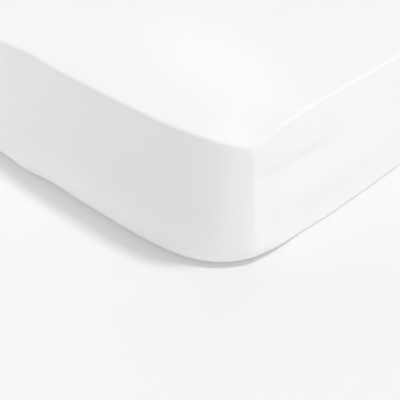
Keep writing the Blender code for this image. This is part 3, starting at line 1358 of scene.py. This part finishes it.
    def hem_rings(self, start: Ring) -> list[Ring]:
        """Lays rings of the band and the hem: along the floor, round the elastic and to the stitching.

        Args:
            start: The ring at the foot of the wall.

        Returns:
            The rings, from the foot of the wall inwards.
        """
        tuck = self.bed.tuck
        stitched = 1 - self.hem_width / tuck
        shares = [stitched * step / self.band_steps for step in range(1, self.band_steps + 1)]
        rings = [Ring(start.inset, 0.0, start.path + tuck * share, share) for share in shares]
        groove = 1 - self.stitch_line / self.hem_width
        section = [(groove, self.stitch_groove), (2 * groove, 0.0)]
        section += [(share, high * self.hem_rise) for share, high in self.hem_section]
        for share, height in section:
            last, along = rings[-1], stitched + (1 - stitched) * share
            path = last.path + math.hypot((along - last.tuck) * tuck, height - last.height)
            rings.append(Ring(start.inset, height, path, along))
        return rings

    def foot_ring(self, columns: Columns) -> Ring:
        """The ring at the foot of the wall, for some columns."""
        return self.bed.section(columns, Clearance(), self.steps)[-1]

    def build(self) -> bpy.types.Object:
        """Builds the sheet as one closed cloth.

        Returns:
            The sheet.
        """
        bed = self.bed
        skin = Skin(4 * bed.quarter_run)
        inner, hem = bed.even_columns(self.inner_step), bed.hem_columns(self.hem_step)
        wall = self.wall_columns()
        for step in range(self.inner_steps):
            points = bed.inner_points(inner, bed.height, self.innermost * (1 - step / self.inner_steps))
            points[:, 2] -= self.top_drop(points)
            skin.add(Row(points, inner.run, 0.0, flat=True))
        for number, ring in enumerate(bed.section(wall, Clearance(), self.steps)):
            flat = number <= self.steps.border
            skin.add(Row(self.wall_points(wall, ring), wall.run, ring.path, flat))
        for ring in self.hem_rings(self.foot_ring(hem)):
            skin.add(Row(self.hem_points(hem, ring), hem.run, ring.path, flat=False))
        sheet = skin.make("sheet_cloth")
        self.give_thickness(sheet)
        return sheet

    def give_thickness(self, sheet: bpy.types.Object) -> None:
        """Gives the cloth its thickness, inwards from the surface that shows.

        Args:
            sheet: The sheet.
        """
        select_only(sheet)
        solidify = sheet.modifiers.new("thickness", "SOLIDIFY")
        solidify.thickness = self.cloth
        solidify.offset = -1.0
        bpy.ops.object.modifier_apply(modifier=solidify.name)

    def dress(self, sheet: bpy.types.Object) -> None:
        """Gives the sheet its cotton and fixes it to the bed."""
        sheet.data.materials.append(WHITE_COTTON.material())
        set_in_frame(sheet, "fitted_sheet")


@dataclass
class HemStitching:
    """The line of stitches that closes the hem round its elastic."""

    sheet: FittedSheet
    pitch: float = 0.0036
    length: float = 0.0027
    thread: float = 0.0005
    thread_sides: int = 6
    thread_bands: int = 4
    flatness: float = 0.8
    rise: float = 0.0002

    def one_stitch(self) -> tuple[np.ndarray, list[tuple[int, ...]]]:
        """Models one stitch: a short thread with round ends, along X and centred on the origin.

        Returns:
            Its points and its faces, in the same order each run.
        """
        bpy.ops.object.select_all(action="DESELECT")
        counts = {"segments": self.thread_sides, "ring_count": self.thread_bands}
        bpy.ops.mesh.primitive_uv_sphere_add(radius=self.thread / 2, **counts)
        bead = bpy.context.active_object
        bpy.ops.object.mode_set(mode="EDIT")
        bpy.ops.transform.rotate(value=math.pi / 2, orient_axis="Y", center_override=(0.0, 0.0, 0.0))
        bpy.ops.transform.resize(value=(self.length / self.thread, 1.0, self.flatness))
        bpy.ops.object.mode_set(mode="OBJECT")
        points = np.array([vertex.co for vertex in bead.data.vertices])
        faces = sorted(tuple(face.vertices) for face in bead.data.polygons)
        bpy.data.objects.remove(bead)
        return points, faces

    def build(self) -> bpy.types.Object:
        """Sews the stitches along the hem, as one piece.

        Returns:
            The line of stitches.
        """
        bed = self.sheet.bed
        columns = bed.hem_columns(self.pitch)
        foot = self.sheet.foot_ring(columns)
        tuck = 1 - self.sheet.stitch_line / bed.tuck
        line = self.sheet.hem_points(columns, Ring(foot.inset, 0.0, 0.0, tuck))
        ahead = np.roll(line, -1, axis=0) - np.roll(line, 1, axis=0)
        ahead /= np.linalg.norm(ahead, axis=1)[:, None]
        points, faces = self.one_stitch()
        placed, all_faces = [], []
        for number, (centre, along) in enumerate(zip(line, ahead)):
            across = np.array([-along[1], along[0], 0.0])
            up = np.cross(along, across)
            placed.append(centre + points @ np.array([along, across, up]) + np.array([0.0, 0.0, self.rise]))
            start = number * len(points)
            all_faces += [tuple(start + i for i in face) for face in faces]
        return make_smooth("hem_stitches", np.vstack(placed), all_faces)

    def dress(self, stitches: bpy.types.Object) -> None:
        """Gives the stitches their thread and fixes them to the bed."""
        stitches.data.materials.append(COTTON_THREAD.material())
        set_in_frame(stitches, None)


@dataclass
class Mattress:
    """The mattress inside the sheet: a plain pad in a woven cover, which shows only inside the hem."""

    bed: BedShape
    gaps: Clearance = Clearance(side=0.0040, top=0.0024, floor=0.0044)
    steps: Steps = Steps(border=3, roll=6, wall=10)
    crown: float = 0.0009
    innermost: float = 0.985
    inner_steps: int = 10
    column_step: float = 0.024
    under_inset: float = 0.045

    def build(self) -> bpy.types.Object:
        """Builds the mattress as one closed pad.

        Returns:
            The mattress.
        """
        bed, gaps = self.bed, self.gaps
        skin = Skin(4 * bed.quarter_run)
        columns = bed.even_columns(self.column_step)
        shrinks = [self.innermost * (1 - step / self.inner_steps) for step in range(self.inner_steps)]
        for shrink in shrinks:
            points = bed.inner_points(columns, bed.height - gaps.top, shrink)
            skin.add(Row(points, columns.run, 0.0, flat=True))
        for number, ring in enumerate(bed.section(columns, gaps, self.steps)):
            flat = number <= self.steps.border
            skin.add(Row(bed.points(columns, ring), columns.run, ring.path, flat))
        for inset in (self.under_inset, bed.droop_inset):
            skin.add(Row(bed.points(columns, Ring(inset, gaps.floor)), columns.run, 0.0, flat=True))
        for shrink in shrinks[::-1]:
            points = bed.inner_points(columns, gaps.floor, shrink)
            points[:, 2] -= self.crown * float(smooth(shrink))
            skin.add(Row(points, columns.run, 0.0, flat=True))
        skin.close()
        return skin.make("mattress_pad")

    def dress(self, pad: bpy.types.Object) -> None:
        """Gives the mattress its cover and fixes it to the bed.

        Args:
            pad: The mattress.
        """
        pad.data.materials.append(MATTRESS_TICKING.material())
        set_in_frame(pad, "mattress")


def hang_lamp(name: str, kind: str, back: Vector) -> bpy.types.Object:
    """Hangs a lamp.

    Args:
        name: Its name.
        kind: Its type, as Blender names it.
        back: The direction that it stands in, seen from what it lights.

    Returns:
        The lamp.
    """
    hung = bpy.data.objects.new(name, bpy.data.lights.new(name, kind))
    hung.rotation_euler = back.to_track_quat("Z", "Y").to_euler()
    bpy.context.scene.collection.objects.link(hung)
    return hung


@dataclass(frozen=True)
class BroadLamp:
    """A far lamp: the direction that it stands in, its strength and how wide it looks."""

    name: str
    stands: tuple[float, float, float]
    strength: float
    width: float

    def hang(self) -> None:
        """Hangs the lamp."""
        hung = hang_lamp(self.name, "SUN", Vector(self.stands))
        hung.data.energy = self.strength
        hung.data.angle = self.width


@dataclass(frozen=True)
class SoftSpot:
    """A near lamp, whose light dies away to the edge of a round or, if it is stretched, of an oval."""

    name: str
    place: tuple[float, float, float]
    towards: tuple[float, float, float]
    power: float
    cone: float
    radius: float
    stretch: float = 1.0
    turn: float = 0.0

    def hang(self) -> None:
        """Hangs the lamp."""
        hung = hang_lamp(self.name, "SPOT", Vector(self.place) - Vector(self.towards))
        hung.rotation_euler.rotate_axis("Z", self.turn)
        hung.location = self.place
        hung.scale = (self.stretch, 1.0, 1.0)
        hung.data.energy = self.power
        hung.data.spot_size = self.cone
        hung.data.spot_blend = 1.0
        hung.data.shadow_soft_size = self.radius


@dataclass
class Studio:
    """The floor, the lights and the camera."""

    bed: BedShape
    floor_size: float = 30.0
    camera_turn: float = math.radians(43.88)
    camera_rise: float = math.radians(35.18)
    camera_offset: tuple[float, float, float] = (0.634, -0.701, 0.813)
    lens: float = 89.01
    film: float = 36.0
    fill: float = 0.530
    broad_lamps: tuple[BroadLamp, ...] = (
        BroadLamp("key", (0.25, 0.20, 1.0), 1.279, 0.14),
        BroadLamp("right_low", (1.0, 0.0, 0.10), 0.509, 0.5),
        BroadLamp("right_back_low", (0.707, 0.707, 0.10), 0.195, 0.5),
        BroadLamp("left", (-1.0, -0.1, 0.4), 0.422, 0.7),
    )
    soft_spots: tuple[SoftSpot, ...] = (
        SoftSpot("foot_glow", (-0.45, -1.40, 0.14), (-0.10, -1.0, 0.10), 1.87, 1.309, 0.06),
        SoftSpot("foot_strip", (0.0, -1.55, 0.04), (0.22, -1.0, 0.015), 0.84, 0.20, 0.01, 5.0),
        SoftSpot("top_patch", (0.278, -0.828, 2.2), (0.278, -0.828, 0.2), 6.64, 0.10, 0.02, 2.2, -0.312),
    )

    def lay_floor(self) -> None:
        """Lays the floor, level with the underside of the bed."""
        bpy.ops.object.select_all(action="DESELECT")
        bpy.ops.mesh.primitive_plane_add(size=self.floor_size, location=(0.0, 0.0, 0.0))
        floor = bpy.context.active_object
        floor.name = "floor"
        floor.data.materials.append(PALE_FLOOR.material(self.bed))

    def light(self) -> None:
        """Sets an even fill and hangs the lamps."""
        world = bpy.data.worlds.new("white_room")
        world.use_nodes = True
        background = world.node_tree.nodes["Background"]
        background.inputs["Color"].default_value = (1.0, 1.0, 1.0, 1.0)
        background.inputs["Strength"].default_value = self.fill
        bpy.context.scene.world = world
        for lamp in (*self.broad_lamps, *self.soft_spots):
            lamp.hang()

    def set_camera(self) -> None:
        """Puts the camera where the photograph was taken from."""
        turn, rise = self.camera_turn, self.camera_rise
        back = Vector((math.sin(turn) * math.cos(rise), -math.cos(turn) * math.cos(rise), math.sin(rise)))
        right = Vector((math.cos(turn), math.sin(turn), 0.0))
        matrix = Matrix((right, back.cross(right), back)).transposed().to_4x4()
        corner = Vector((self.bed.width / 2, -self.bed.length / 2, 0.0))
        matrix.translation = corner + Vector(self.camera_offset)
        camera = bpy.data.cameras.new("camera")
        camera.sensor_width = self.film
        camera.lens = self.lens
        holder = bpy.data.objects.new("camera", camera)
        holder.matrix_world = matrix
        bpy.context.scene.collection.objects.link(holder)
        bpy.context.scene.camera = holder
        bpy.context.scene.view_settings.view_transform = "Standard"


def main() -> None:
    """Builds and dresses the pieces, then the room round them."""
    logging.basicConfig(level=logging.INFO, format="%(name)s %(message)s")
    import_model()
    bed = BedShape()
    sheet = FittedSheet(bed)
    cloth = sheet.build()
    sheet.dress(cloth)
    stitching = HemStitching(sheet)
    stitches = stitching.build()
    stitching.dress(stitches)
    mattress = Mattress(bed)
    mattress.dress(mattress.build())
    studio = Studio(bed)
    studio.lay_floor()
    studio.light()
    studio.set_camera()


if __name__ == "__main__":
    main()
